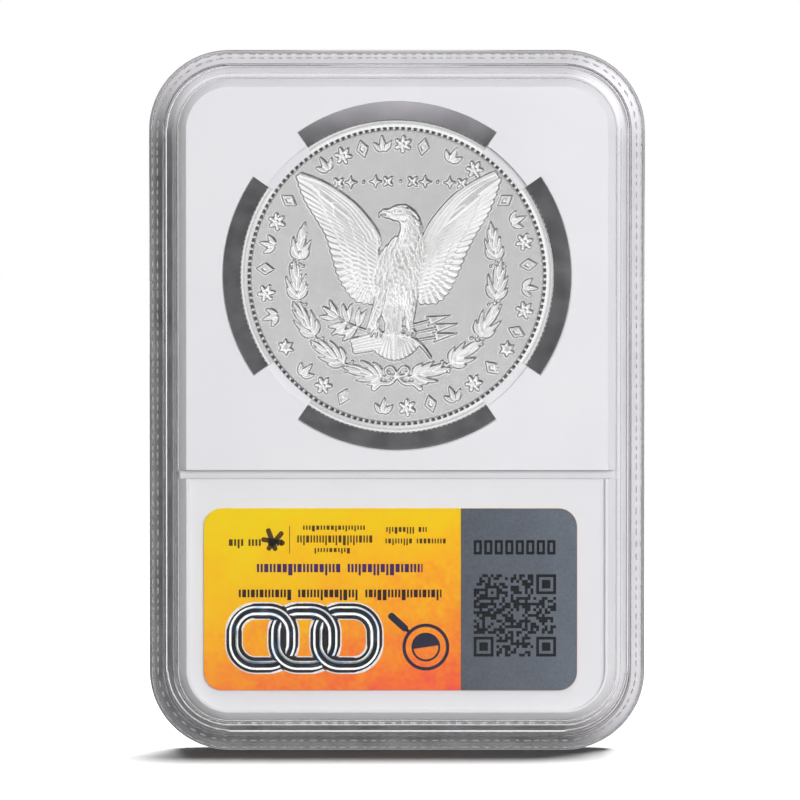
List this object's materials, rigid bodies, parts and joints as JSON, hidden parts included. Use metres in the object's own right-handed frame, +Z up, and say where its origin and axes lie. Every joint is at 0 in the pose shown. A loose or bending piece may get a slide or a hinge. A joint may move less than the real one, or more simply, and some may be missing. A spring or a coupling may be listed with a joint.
{
  "type": "graded coin slab",
  "caption": "Sealed clear plastic coin holder on its short edge: welded shells round a white core that grips a large silver coin above a printed label.",
  "frame": {"origin": "middle of the short edge that the slab stands on, on the parting plane", "axes": "+Z up the slab from the labels to the coin, +X to the right seen from the rear face, +Y out of the front face; the rear face looks along -Y"},
  "size_m": [0.06, 0.008, 0.0848],
  "materials": {
    "clear_shell": "clear moulded plastic, polished windows",
    "white_core": "satin moulded",
    "coin_silver": "struck silver, satin relief on a bright field",
    "front_label_card": "coated card",
    "rear_label_card": "coated card, yellow running to orange",
    "grey_foil": "fine-grained grey foil",
    "bright_foil": "mirror-bright stamped foil"
  },
  "bodies": {
    "root": {"front_shell": "clear_shell", "rear_shell": "clear_shell", "core_insert": "white_core", "coin": "coin_silver", "front_label": "front_label_card", "rear_label": "rear_label_card", "panel_foil": "grey_foil", "emblem_foil": "bright_foil"}
  },
  "joints": []
}
